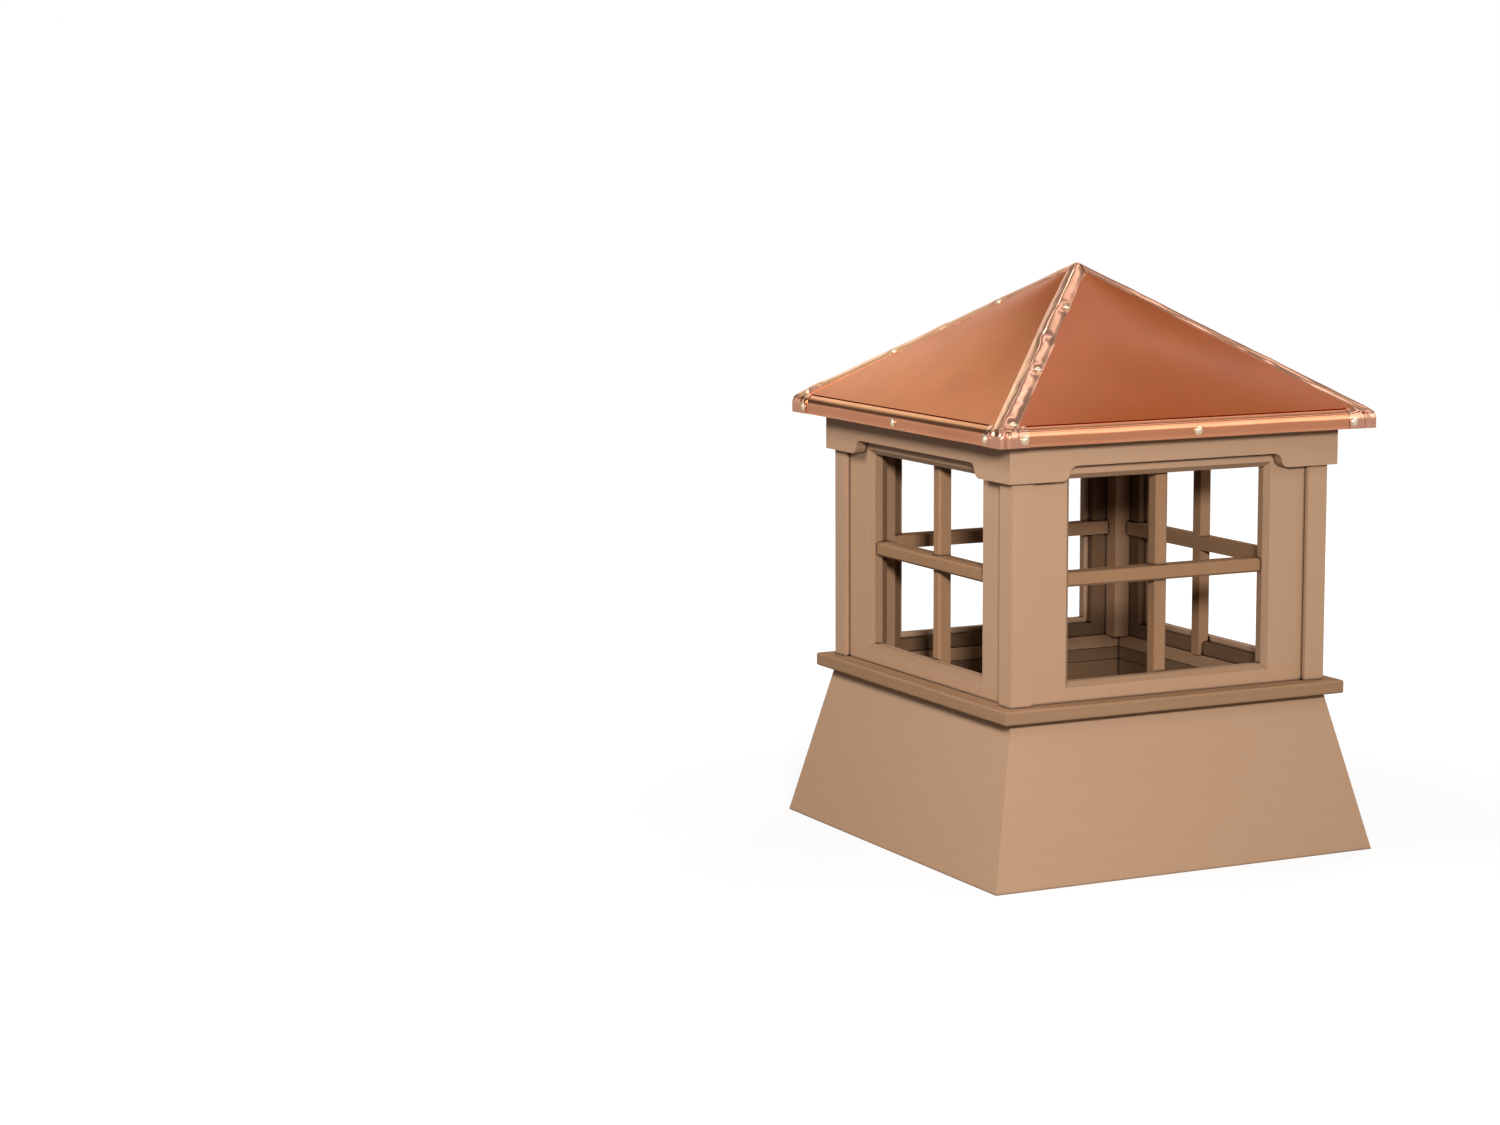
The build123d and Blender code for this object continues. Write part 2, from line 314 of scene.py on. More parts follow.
def plywood_veneer():
    """Plywood face: bands across Y bent by noise, in two wood colours, with a dry matt surface."""
    material, tree = new_material("plywood")
    place = add_node(tree, "ShaderNodeTexCoord").outputs["Object"]
    stretched = add_node(tree, "ShaderNodeMapping", Vector=place, Scale=(VENEER_STRETCH, 1.0, 1.0))
    bands = add_node(
        tree, "ShaderNodeTexWave", {"bands_direction": "Y"}, Scale=1 / (math.tau * VENEER_BAND),
        Distortion=VENEER_BEND, Detail=3.0, Vector=stretched.outputs[0],
    )
    veneer = add_node(
        tree, "ShaderNodeMix", {"data_type": "RGBA"}, _0=bands.outputs[1],
        _6=linear(VENEER_TANS[1]), _7=linear(VENEER_TANS[0]),
    )
    shader = add_node(
        tree, "ShaderNodeBsdfPrincipled", Base_Color=veneer.outputs[2], Roughness=VENEER_ROUGHNESS
    )
    add_node(tree, "ShaderNodeOutputMaterial", Surface=shader.outputs[0])
    return material


plywood = plywood_veneer()
print("deck:", plywood.name)

# %% [markdown]
# ## A finish for every board
#
# Upright boards and the sheets that the windows are cut in carry their grain up and down. The base, the
# ledge and the frieze run round the cupola, so their grain lies along X at the front and back, and along Y
# at the sides. The copper solids are replaced further on, so theirs is only a first coat.

# %% Give each node its finish
for name, node in nodes.items():
    round_about = "Y" if name.endswith(("left", "right")) else "X"
    if name.startswith("corner_board"):
        finish = upright["XY"]
    elif name.startswith("wall_panel"):
        finish = upright["X" if round_about == "Y" else "Y"]
    elif name.startswith("frieze"):
        finish = moulded[round_about]
    elif name.startswith("inner_posts"):
        finish = sawn["Z"]
    elif name.startswith("window_frame"):
        finish = shaded_inner_board["Z"]
    elif name.startswith(("base_cleat", "base_batten")):
        finish = shaded_inner_board["X"]
    elif name.startswith("window_grille"):
        finish = ripped
    elif name.startswith("ledge"):
        finish = sawn[round_about]
    elif name.startswith(("roof_panel", "eave_trim", "hip_cap", "corner_clips")):
        finish = copper_trim
    elif name.startswith(("roof_boards", "soffit")):
        finish = plywood
    else:
        finish = capped[round_about]
    for slot in node.material_slots:
        slot.material = finish
print("finishes set:", len(nodes))

# %% [markdown]
# ## Sheet metal as two surfaces
#
# Every copper piece is thin sheet, so it is worked out as an outer surface and an inner one, each a grid of
# points. The two are joined by a rim round their borders, which leaves no open edge. The cupola has four
# like sides, so each piece is worked out once for the front and turned by quarters, but with new waves each
# time, because no two are bent alike. The waves are a few sines with random phases: unlike white noise they
# are smooth, so the metal looks bent and not sandblasted.

# %% Helpers for sheet metal
SHEET = 1.5 * MM
REAL_SHEET = 0.6 * MM
WELD = 0.01 * MM
SHARP = math.radians(35)
SIDES = ("front", "right", "back", "left")
CORNERS = ("front_left", "front_right", "back_right", "back_left")
rng = np.random.default_rng(7)


def crinkle(along, wavelengths, size):
    """Sum of sines over the distance along: each has a random phase and a height in step with its length."""
    wavelengths = np.asarray(wavelengths)
    phases = rng.uniform(0, math.tau, len(wavelengths))
    heights = size * wavelengths / wavelengths.sum()
    return (heights * np.sin(math.tau * np.asarray(along)[..., None] / wavelengths + phases)).sum(axis=-1)


def shell_faces(rows, columns):
    """Faces of a closed shell: outer quads, the same turned over for the inner grid, and a rim between."""
    index = np.arange(rows * columns).reshape(rows, columns)
    outer = np.stack([index[:-1, :-1], index[:-1, 1:], index[1:, 1:], index[1:, :-1]], axis=-1)
    outer = outer.reshape(-1, 4)
    border = np.concatenate([index[0, :-1], index[:-1, -1], index[-1, :0:-1], index[:0:-1, 0]])
    inner = border + rows * columns
    rim = np.stack([np.roll(border, -1), border, inner, np.roll(inner, -1)], axis=-1)
    return np.vstack([outer, outer[:, ::-1] + rows * columns, rim])


def quarter_turned(points, quarter):
    """Points turned about the Z axis by whole quarters: (x, y) becomes (-y, x) once for each."""
    turn = np.linalg.matrix_power(np.array([[0, 1, 0], [-1, 0, 0], [0, 0, 1]]), quarter)
    return points @ turn


print("sheet in the construction:", SHEET, "sheet as shown:", REAL_SHEET)


# %% Helpers that make the pieces
def add_piece(name, points, faces, finish, slot):
    """Mesh piece at the origin: doubles merged, and smooth except at edges sharper than 35 degrees."""
    mesh = bpy.data.meshes.new(name)
    mesh.from_pydata(np.asarray(points).reshape(-1, 3).tolist(), [], np.asarray(faces).tolist())
    welded = bmesh.new()
    welded.from_mesh(mesh)
    bmesh.ops.remove_doubles(welded, verts=welded.verts, dist=WELD)
    bmesh.ops.dissolve_degenerate(welded, edges=welded.edges, dist=WELD)
    welded.to_mesh(mesh)
    welded.free()
    mesh.polygons.foreach_set("use_smooth", np.ones(len(mesh.polygons), bool))
    mesh.set_sharp_from_angle(angle=SHARP)
    mesh.materials.append(finish)
    piece = bpy.data.objects.new(name, mesh)
    bpy.context.collection.objects.link(piece)
    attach(piece, "root")
    return piece


def add_shell(name, outer, inner, quarter, finish):
    """Copper piece between two grids of points, turned about the Z axis by whole quarters."""
    points = np.concatenate([outer.reshape(-1, 3), inner.reshape(-1, 3)])
    return add_piece(
        name, quarter_turned(points, quarter), shell_faces(*outer.shape[:2]), finish, "copper"
    )


print("sides:", SIDES, "corners:", CORNERS)

# %% [markdown]
# ## The roof sheets
#
# Each slope is one triangular sheet. Soft copper that is held along its edges bulges between them, which
# roofers call oil canning: no deeper than a few millimetres, but enough to make the reflection drift from
# light to dark over a slope. A flat triangle would show one even tone. The bulge is a parabola from the eave
# to the apex times a curve that is zero at both hips, with a few slow waves of the same shape on it. Every
# size that the sheet has to fit is read off the construction.

# %% Measures of the roof
eave_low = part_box("eave_trim_front")[0]
panel_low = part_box("roof_panel_front")[0]
deck_low, deck_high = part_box("roof_boards")
HALF_EAVE = -eave_low.y
BAND_BOTTOM = eave_low.z
HALF_DECK = deck_high.x
DECK_BOTTOM = deck_low.z
DECK_EDGE = 19 * MM
DECK_EDGE_TOP = DECK_BOTTOM + DECK_EDGE
PITCH = math.atan2(deck_high.z - DECK_EDGE_TOP, HALF_DECK)
PANEL_FOOT = -panel_low.y - SHEET * math.sin(PITCH)
SLOPE_NORMAL = np.array([0, -math.sin(PITCH), math.cos(PITCH)])


def deck_height(outward):
    """Height of the deck's top face so far out from the axis: the height of its edge, plus the slope times
    the run in from the edge."""
    return DECK_EDGE_TOP + (HALF_DECK - outward) * math.tan(PITCH)


print("pitch:", round(math.degrees(PITCH), 2), "half deck:", HALF_DECK)

# %% Roof sheets
BULGE = 4.5 * MM
UPRIGHT_WAVES = (310 * MM, 230 * MM)
UPRIGHT_HEIGHT, UPRIGHT_SLANT = 0.5 * MM, 0.6
LEVEL_WAVES = (270 * MM, 170 * MM)
LEVEL_HEIGHT, LEVEL_SLANT = 0.4 * MM, -0.4


def on_slope(x, outward, lift):
    """Point over the front slope: out from the axis and across it, raised square to the slope by lift."""
    foot = np.stack(np.broadcast_arrays(x, -outward, deck_height(outward)), axis=-1)
    return foot + SLOPE_NORMAL * np.asarray(lift)[..., None]


def roof_sheet():
    """Triangle over the slope: up runs from the eave to the apex, across from hip to hip.
    Bulge = (depth + waves) * 4 up (1 - up) * (1 - across^2)^1.5."""
    up, across = np.meshgrid(np.linspace(0, 1, 61), np.linspace(-1, 1, 81), indexing="ij")
    outward = PANEL_FOOT * (1 - up)
    x = across * outward
    held = 4 * up * (1 - up) * (1 - across ** 2) ** 1.5
    waves = crinkle(x + UPRIGHT_SLANT * outward, UPRIGHT_WAVES, UPRIGHT_HEIGHT)
    waves += crinkle(outward + LEVEL_SLANT * x, LEVEL_WAVES, LEVEL_HEIGHT)
    top = on_slope(x, outward, 2 * SHEET + held * (BULGE + waves))
    return top, top - SLOPE_NORMAL * REAL_SHEET


for quarter, side in enumerate(SIDES):
    sheet = add_shell(f"copper_slope_{side}", *roof_sheet(), quarter, copper_sheet)
    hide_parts(f"roof_panel_{side}")
print("roof sheets: 4, bulge", BULGE)

# %% [markdown]
# ## The eave bands
#
# A strip is bent over the deck's edge: its band hides the plywood, and its lap runs up under the roof sheet.
# It is bent by hand over the wood, so the bend is round and catches the light as one long line.
# The band under it waves a little, and its hem is turned in, so its lower edge is soft. The section is
# carried along the side, and each point is pushed out by the waves in step with how far it lies below the
# bend.

# %% The section of an eave band
BEND_RADIUS = 12 * MM
LAP = 24 * MM
UP_SLOPE = np.array([-math.cos(PITCH), math.sin(PITCH)])


def band_section(count_band=9, count_bend=9, count_lap=4):
    """Outer line across the band: (outward, z) up the band, round the bend and up the lap, and its normals.
    The bend touches both, so its centre lies radius inside the band, and radius * tan(half the turn) below
    the sharp corner that it rounds."""
    whole_turn = math.pi / 2 - PITCH
    corner = deck_height(HALF_EAVE) + SHEET / math.cos(PITCH)
    centre = np.array([HALF_EAVE - BEND_RADIUS, corner - BEND_RADIUS * math.tan(whole_turn / 2)])
    turn = np.linspace(0, whole_turn, count_bend)
    normals = np.stack([np.cos(turn), np.sin(turn)], axis=1)
    bend = centre + BEND_RADIUS * normals
    band_z = np.linspace(BAND_BOTTOM, bend[0, 1], count_band)[:-1]
    band = np.stack([np.full_like(band_z, HALF_EAVE), band_z], axis=1)
    lap = bend[-1] + np.linspace(0, LAP, count_lap + 1)[1:, None] * UP_SLOPE
    line = np.vstack([band, bend, lap])
    facing = np.vstack([np.tile(normals[0], (len(band), 1)), normals, np.tile(normals[-1], (len(lap), 1))])
    return line, facing


print("band: from", BAND_BOTTOM, "to", round(float(band_section()[0][8, 1]), 5), "then the bend")

# %% Eave bands
BAND_THICKNESS = 0.8 * MM
BAND_WAVES = (190 * MM, 83 * MM, 47 * MM)
BAND_WAVE_HEIGHT = 0.5 * MM
BAND_SETBACK = 0.25 * MM
HEM_TURN = 1.1 * MM
HEM_REACH = 2.2 * MM


def eave_band(columns=161):
    """Section carried along X and mitred: x = along * outward at each point. A point moves out along its
    normal by drop * (wave * (1 - along^8) - setback) - hem, where drop is 0 at the bend and 1 at the hem."""
    line, facing = band_section()
    along = np.linspace(-1, 1, columns)
    drop = np.clip((DECK_EDGE_TOP - line[:, 1:]) / DECK_EDGE, 0, 1)
    wave = crinkle(along * HALF_EAVE, BAND_WAVES, BAND_WAVE_HEIGHT) * (1 - along ** 8)
    hem = HEM_TURN * np.exp(-((line[:, 1:] - BAND_BOTTOM) / HEM_REACH) ** 2)
    push = drop * (wave - BAND_SETBACK) - hem
    grids = []
    for lift in (push, push - BAND_THICKNESS):
        placed = line[:, None, :] + facing[:, None, :] * lift[..., None]
        grids.append(np.stack([along * line[:, :1], -placed[..., 0], placed[..., 1]], axis=-1))
    return grids


for quarter, side in enumerate(SIDES):
    band = add_shell(f"eave_band_{side}", *eave_band(), quarter, copper_band)
    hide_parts(f"eave_trim_{side}")
print("eave bands: 4, bend radius", BEND_RADIUS)

# %% [markdown]
# ## The hip caps
#
# A cap is a straight strip folded along its middle and screwed down over the hip. The fold is round, because
# soft copper does not crease sharply, so a section through it is a hyperbola: two straight wings far from
# the crest and a small curve at it. The crest wanders, the wings crinkle more towards their free edges, and
# each screw pulls a shallow dimple with a ripple round it. The hems of both wings are pressed down on the
# roof sheets, so no daylight shows under them.

# %% Directions of a hip cap
CAP_THICKNESS = 0.8 * MM
CAP_FOOT = HALF_EAVE - 1.5 * MM
RIDGE_LIFT = 3 * SHEET - 0.4 * MM
ACROSS = np.array([1, -1, 0]) / math.sqrt(2)
LEFT_NORMAL = SLOPE_NORMAL[[1, 0, 2]]
# Out of the hip, midway between the normals of the two slopes.
CREST_NORMAL = (SLOPE_NORMAL + LEFT_NORMAL) / np.linalg.norm(SLOPE_NORMAL + LEFT_NORMAL)
# Cosine of the angle between that and a slope's normal, and how far a wing falls for its width.
CREST_LEAN = np.dot(SLOPE_NORMAL, CREST_NORMAL)
WING_DROP = math.sqrt(1 - CREST_LEAN ** 2) / CREST_LEAN
# Length of the hip for each metre of plan.
HIP_RUN = math.sqrt(2 + math.tan(PITCH) ** 2)


def on_hip(plan):
    """Point of the deck's front left hip that lies so far out from the axis to the front and to the left."""
    return np.stack([-plan, -plan, deck_height(plan)], axis=-1)


print("wing slope off the crest:", round(math.degrees(math.atan(WING_DROP)), 1))

# %% Screws through a hip cap
HIP_SCREWS = np.array([27, 172, 345]) * MM
HIP_SCREW_SIDES = np.array([11, 11, 12]) * MM
DIMPLE_DEPTH = 0.7 * MM
RIPPLE_HEIGHT = 0.3 * MM
RIPPLE_RADIUS = 14 * MM
SCREW_REACH = 6 * MM
STIFFER_ACROSS = 1.3


def screw_dimples(along, q):
    """Sum over the screws, with r the distance from one, counted 1.3 times across the strip: a dimple of
    depth * exp(-(r / reach)^2) and a raised ripple of height * exp(-((r - radius) / reach)^2)."""
    r = np.hypot(along[..., None] - HIP_SCREWS, (q[..., None] - HIP_SCREW_SIDES) * STIFFER_ACROSS)
    ripple = RIPPLE_HEIGHT * np.exp(-((r - RIPPLE_RADIUS) / SCREW_REACH) ** 2)
    return (ripple - DIMPLE_DEPTH * np.exp(-(r / SCREW_REACH) ** 2)).sum(axis=-1)


print("screws up the hip:", HIP_SCREWS, "across from the crest:", HIP_SCREW_SIDES)

# %% Buckles of a hip cap
LEFT_WING = 14.5 * MM
RIGHT_WING = 17 * MM
LEFT_WAVES = (120 * MM, 60 * MM, 38 * MM)
RIGHT_WAVES = (130 * MM, 64 * MM, 40 * MM)
WING_HEIGHT = 0.9 * MM
BUCKLES = (105 * MM, 66 * MM, 43 * MM)
BUCKLE_HEIGHT = 1.7 * MM
BUCKLE_SLANT = 0.35
BUSY_MIDDLE, BUSY_SWING, BUSY_LENGTH = 0.6, 0.4, 210 * MM
FOOT_REACH = 30 * MM
FLAT_LEVEL = 0.2 * MM
FLAT_SOFTNESS = 0.25 * MM
CAP_SINK = 0.55 * MM


def cap_buckles(q, edge, middle, along):
    """Height of the buckles: each wing's own waves, growing as edge^1.5, and slanting ones that come and go
    along the cap and double at its foot. Dips flatten out at a level, where the sheet under them stops them:
    level + softness * log(1 + exp((height - level) / softness))."""
    left = crinkle(middle, LEFT_WAVES, WING_HEIGHT)[:, None]
    right = crinkle(middle, RIGHT_WAVES, WING_HEIGHT)[:, None]
    height = np.where(q < 0, left, right) * edge ** 1.5
    busy = BUSY_MIDDLE + BUSY_SWING * np.sin(math.tau * middle / BUSY_LENGTH + rng.uniform(0, math.tau))
    crumpled = busy[:, None] + np.exp(-along / FOOT_REACH)
    height += crinkle(along + BUCKLE_SLANT * q, BUCKLES, BUCKLE_HEIGHT) * crumpled
    soft = np.logaddexp(0, (height - FLAT_LEVEL) / FLAT_SOFTNESS) * FLAT_SOFTNESS
    return FLAT_LEVEL + soft - CAP_SINK


print("wings:", LEFT_WING, RIGHT_WING)

# %% The cut of a hip cap
CAP_ROWS = np.linspace(0, 1, 241)
CAP_ACROSS = np.linspace(-LEFT_WING, RIGHT_WING, 41)[None, :]


def cap_plan(q):
    """How far out each point of the strip lies, row by row from the eave to the apex. Both ends are cut: at
    the eave in line with the bands, and at the apex along the mitre with the next caps."""
    drift = WING_DROP * CREST_NORMAL[0]
    foot = CAP_FOOT - np.abs(q) * (1 / math.sqrt(2) + drift)
    mitre = np.abs(q) * (1 / math.sqrt(2) - drift)
    return foot + CAP_ROWS[:, None] * (mitre - foot)


print("grid of a cap:", cap_plan(CAP_ACROSS).shape)

# %% Hip caps
CREST_WAVES = (270 * MM, 130 * MM, 60 * MM)
CREST_SWAY = 1.6 * MM
CREST_ROUNDING = 1.3 * MM
ROUNDING_SWING, ROUNDING_LENGTH = 0.3, 35 * MM
PRESSED_FOOT = 1.4 * MM
PRESSED_REACH = 4 * MM
HEM_START = 0.55
HEM_GAP = 0.1 * MM


def hip_cap():
    """Strip along the front left hip: q is the distance across from the crest, along runs up from the eave.
    Height = c - sqrt(((q - crest) * slope)^2 + c^2) plus buckles and dimples, where c rounds the fold. From
    0.55 of each wing's width on it eases down to the roof sheet, by 3 t^2 - 2 t^3."""
    q = CAP_ACROSS
    edge = np.abs(q) / np.where(q < 0, LEFT_WING, RIGHT_WING)
    plan = cap_plan(q)
    along = (HALF_EAVE - plan) * HIP_RUN
    middle = HALF_EAVE * HIP_RUN * CAP_ROWS
    crest = crinkle(middle, CREST_WAVES, CREST_SWAY)[:, None]
    rounding = CREST_ROUNDING * (1 + ROUNDING_SWING * np.sin(middle / ROUNDING_LENGTH))[:, None]
    fold = rounding - np.sqrt(((q - crest) * WING_DROP) ** 2 + rounding ** 2)
    height = cap_buckles(q, edge, middle, along) + screw_dimples(along, q)
    height -= PRESSED_FOOT * np.exp(-(along - along.min(axis=0)) / PRESSED_REACH)
    seat = (2 * SHEET + CAP_THICKNESS + HEM_GAP - RIDGE_LIFT) / CREST_LEAN - rounding
    hem = np.clip((edge - HEM_START) / (1 - HEM_START), 0, 1)
    hem = hem ** 2 * (3 - 2 * hem)
    height = height * (1 - hem) + seat * hem
    ridge = on_hip(plan) + CREST_NORMAL * (RIDGE_LIFT / CREST_LEAN)
    top = ridge + ACROSS * q[..., None] + CREST_NORMAL * (fold + height)[..., None]
    return top, top - CREST_NORMAL * CAP_THICKNESS


for quarter, corner in enumerate(CORNERS):
    cap = add_shell(f"folded_cap_{corner}", *hip_cap(), quarter, copper_trim)
    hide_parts(f"hip_cap_{corner}")
print("hip caps: 4, thickness", CAP_THICKNESS)

# %% [markdown]
# ## The corner wraps
#
# Where two eave bands meet, a short strip is wrapped round the corner and pressed over the bend. It is flat
# metal forced round two curves at once, so it gathers into upright folds. The section of the band is reused,
# lifted by a small gap and the thickness of the strip, and carried round a small rounded corner instead of a
# mitre. The folds are waves along that path, strongest near the corner and gone at the ends, which the
# screws hold flat.

# %% The path round a corner
WRAP_LEG = 44 * MM
WRAP_ROUNDING = 3.5 * MM


def corner_path(outward):
    """Plans of paths round the front left corner, one for each distance outward, and the normals that they
    share. A path is a straight leg, a quarter circle and the same leg mirrored in the diagonal."""
    reach = outward[:, None] - WRAP_ROUNDING
    start = HALF_EAVE - WRAP_LEG
    leg_y = -(start + np.linspace(0, 1, 37)[:-1] * (reach - start))
    leg = np.stack(np.broadcast_arrays(-outward[:, None], leg_y), axis=-1)
    turn = np.linspace(0, math.pi / 2, 13)
    out_arc = -np.stack([np.cos(turn), np.sin(turn)], axis=1)
    out_leg = np.tile([-1.0, 0.0], (leg.shape[1], 1))
    arc = WRAP_ROUNDING * out_arc - reach[..., None]
    points = np.concatenate([leg, arc, leg[:, ::-1, ::-1]], axis=1)
    return points, np.vstack([out_leg, out_arc, out_leg[::-1, ::-1]])


print("path:", corner_path(np.array([HALF_EAVE]))[0].shape[1], "points, leg", WRAP_LEG)

# %% Corner wraps
WRAP_RISE = 7 * MM
WRAP_GAP = 0.35 * MM
WRAP_THICKNESS = 0.7 * MM
WRAP_LIMIT = 3.4 * MM
WIDE_FOLD = 19 * MM
NARROW_FOLD = 11 * MM
NARROW_SHARE = 0.5
FOLD_HEIGHT = 1.0 * MM
FOLD_END = 0.85


def corner_wrap():
    """Band section over the path. The outer surface is pushed out by two sines of the distance from the
    corner, raised by their height and faded by 1 - (distance / end)^3, where end is 0.85 of a half path."""
    line, facing = band_section(count_bend=7, count_lap=1)
    line[-1] = line[-2] + WRAP_RISE * UP_SLOPE
    points, normals = corner_path(line[:, 0])
    steps = np.linalg.norm(np.diff(points[0], axis=0), axis=1)
    distance = np.concatenate([[0], np.cumsum(steps)])
    distance = distance - distance[-1] / 2
    wide, narrow = rng.uniform(0, math.tau, 2)
    folds = 1 + np.sin(math.tau * distance / WIDE_FOLD + wide)
    folds += NARROW_SHARE * np.sin(math.tau * distance / NARROW_FOLD + narrow)
    folds *= FOLD_HEIGHT * np.clip(1 - (np.abs(distance) / (FOLD_END * distance[-1])) ** 3, 0, 1)
    outer = np.clip(WRAP_GAP + WRAP_THICKNESS + folds, 0, WRAP_LIMIT)
    grids = []
    for lift in (outer, np.full_like(outer, WRAP_GAP)):
        level = points + normals * (lift * facing[:, :1])[..., None]
        z = line[:, 1:] + lift * facing[:, 1:]
        grids.append(np.concatenate([level, z[..., None]], axis=-1))
    return grids


for quarter, corner in enumerate(CORNERS):
    wrap = add_shell(f"corner_wrap_{corner}", *corner_wrap(), quarter, copper_trim)
    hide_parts("corner_clips")
print("corner wraps: 4, leg", WRAP_LEG)

# %% [markdown]
# ## The roof screws
#
# Every strip is held by plated steel screws, each with a sealing washer. A screw head is a turned shape, so
# it is one profile of radius and height carried round its axis: a flat washer, a domed head and a small
# round recess. All the heads are one mesh, because they are one kind of thing, and each leans a little, as
# screws driven by hand do.

# %% The shape of a screw head
WASHER = np.array([[0, 0], [5.8, 0], [5.8, 0.7], [4.2, 1.0]]) * MM
HEAD_RADIUS = 4.2 * MM
HEAD_FOOT = 1.0 * MM
HEAD_HEIGHT = 3.2 * MM
RECESS = np.array([[1.3, 3.1], [1.1, 2.3], [0, 2.3]]) * MM


def turned_heads(places, normals, steps=20):
    """Copies of a turned head: a profile point (r, h) goes to place + r cos(a) u + r sin(a) v + h normal,
    where u and v are square to the normal and to each other."""
    dome = np.linspace(0, math.pi / 2, 6)[1:-1]
    rise = HEAD_FOOT + (HEAD_HEIGHT - HEAD_FOOT) * np.sin(dome)
    profile = np.vstack([WASHER, np.stack([HEAD_RADIUS * np.cos(dome), rise], axis=1), RECESS])
    turn = np.linspace(0, math.tau, steps, endpoint=False)
    radius, level = profile[:, :1], np.tile(profile[:, 1:], steps)
    ring = np.stack([radius * np.cos(turn), radius * np.sin(turn), level], axis=-1)
    normals = normals / np.linalg.norm(normals, axis=1, keepdims=True)
    helper = np.where(np.abs(normals[:, 2:3]) < 0.9, [[0, 0, 1]], [[1, 0, 0]])
    u = np.cross(helper, normals)
    u /= np.linalg.norm(u, axis=1, keepdims=True)
    axes = np.stack([u, np.cross(normals, u), normals], axis=1)
    points = places[:, None, None, :] + np.einsum("prc,ncd->nprd", ring, axes)
    index = np.arange(len(profile) * steps).reshape(len(profile), steps)
    low, high = index[:-1], index[1:]
    faces = np.stack([low, np.roll(low, -1, axis=1), np.roll(high, -1, axis=1), high], axis=-1)
    offsets = np.arange(len(places))[:, None, None] * index.size
    return points.reshape(-1, 3), (faces.reshape(1, -1, 4) + offsets).reshape(-1, 4)


print("screw head:", 2 * HEAD_RADIUS, "across,", HEAD_HEIGHT, "high")

# %% Roof screws
BAND_SCREWS = np.array([-263, 8, 263]) * MM
BAND_SCREW_Z = DECK_BOTTOM + 10 * MM
BAND_SCREW_GAP = 0.2 * MM
ON_A_WRAP = np.array([1.0, 0, 1.0]) * MM
DIMPLE_SEAT = 0.3 * MM
SCREW_LEAN = 0.05

hip_places = on_hip(CAP_FOOT - HIP_SCREWS / HIP_RUN) + CREST_NORMAL * (RIDGE_LIFT / CREST_LEAN)
hip_places += ACROSS * HIP_SCREW_SIDES[:, None]
hip_places -= CREST_NORMAL * (HIP_SCREW_SIDES * WING_DROP + DIMPLE_SEAT)[:, None]
band_y = -HALF_EAVE - BAND_SCREW_GAP - ON_A_WRAP
band_places = np.stack([BAND_SCREWS, band_y, np.full(3, BAND_SCREW_Z)], axis=1)
places = np.vstack([hip_places, band_places])
facing = np.vstack([np.tile(SLOPE_NORMAL, (3, 1)), np.tile([0, -1.0, 0], (3, 1))])
places = np.vstack([quarter_turned(places, quarter) for quarter in range(4)])
facing = np.vstack([quarter_turned(facing, quarter) for quarter in range(4)])
facing = facing + rng.normal(0, SCREW_LEAN, facing.shape)
screws = add_piece("roof_screws", *turned_heads(places, facing), plated_steel, "copper")
print("roof screws:", len(places), "in", screws.name)

# %% [markdown]
# ## Stage
#
# The floor is a wide plain disc of paper. What the camera sees of it is lit by a weak glow as well, so that
# it comes out white, and the cupola's own shadow still falls on it. A dimmer glow shows in the copper. For
# the light that bounces back to the object the paper is a dark grey, which keeps the underside of the eaves
# dark.

# %% Stage
bpy.context.scene.view_settings.view_transform = "Standard"
FLOOR_RADIUS = 14.0
FLOOR_MIDDLE = 1.5
FLOOR_STEPS = 64
PAPER = (0.16, 0.16, 0.16, 1)
WHITE = (1, 1, 1, 1)
GLOW_START, GLOW_FULL = 0.6, 1.6
NEAR_GLOW = 0.84
MIRRORED_GLOW = 0.6


def paper_material():
    """Diffuse grey plus a glow. The camera sees a glow of 0.84 up to 0.6 m from the middle, which rises to
    plain white at 1.6 m, and the copper sees 0.6 everywhere."""
    material, tree = new_material("pale_paper")
    rays = add_node(tree, "ShaderNodeLightPath")
    place = add_node(tree, "ShaderNodeTexCoord").outputs["Object"]
    away = add_node(tree, "ShaderNodeVectorMath", {"operation": "LENGTH"}, _0=place)
    whiter = add_node(
        tree, "ShaderNodeMapRange", Value=away.outputs["Value"], _1=GLOW_START, _2=GLOW_FULL,
        _3=NEAR_GLOW, _4=1.0,
    )
    mirrored = add_node(
        tree, "ShaderNodeMath", {"operation": "MULTIPLY"}, _0=rays.outputs["Is Glossy Ray"],
        _1=MIRRORED_GLOW,
    )
    shown = add_node(
        tree, "ShaderNodeMath", {"operation": "MULTIPLY_ADD"}, _0=rays.outputs["Is Camera Ray"],
        _1=whiter.outputs[0], _2=mirrored.outputs[0],
    )
    paper = add_node(tree, "ShaderNodeBsdfDiffuse", Color=PAPER)
    glow = add_node(tree, "ShaderNodeEmission", Color=WHITE, Strength=shown.outputs[0])
    both = add_node(tree, "ShaderNodeAddShader", _0=paper.outputs[0], _1=glow.outputs[0])
    add_node(tree, "ShaderNodeOutputMaterial", Surface=both.outputs[0])
    return material


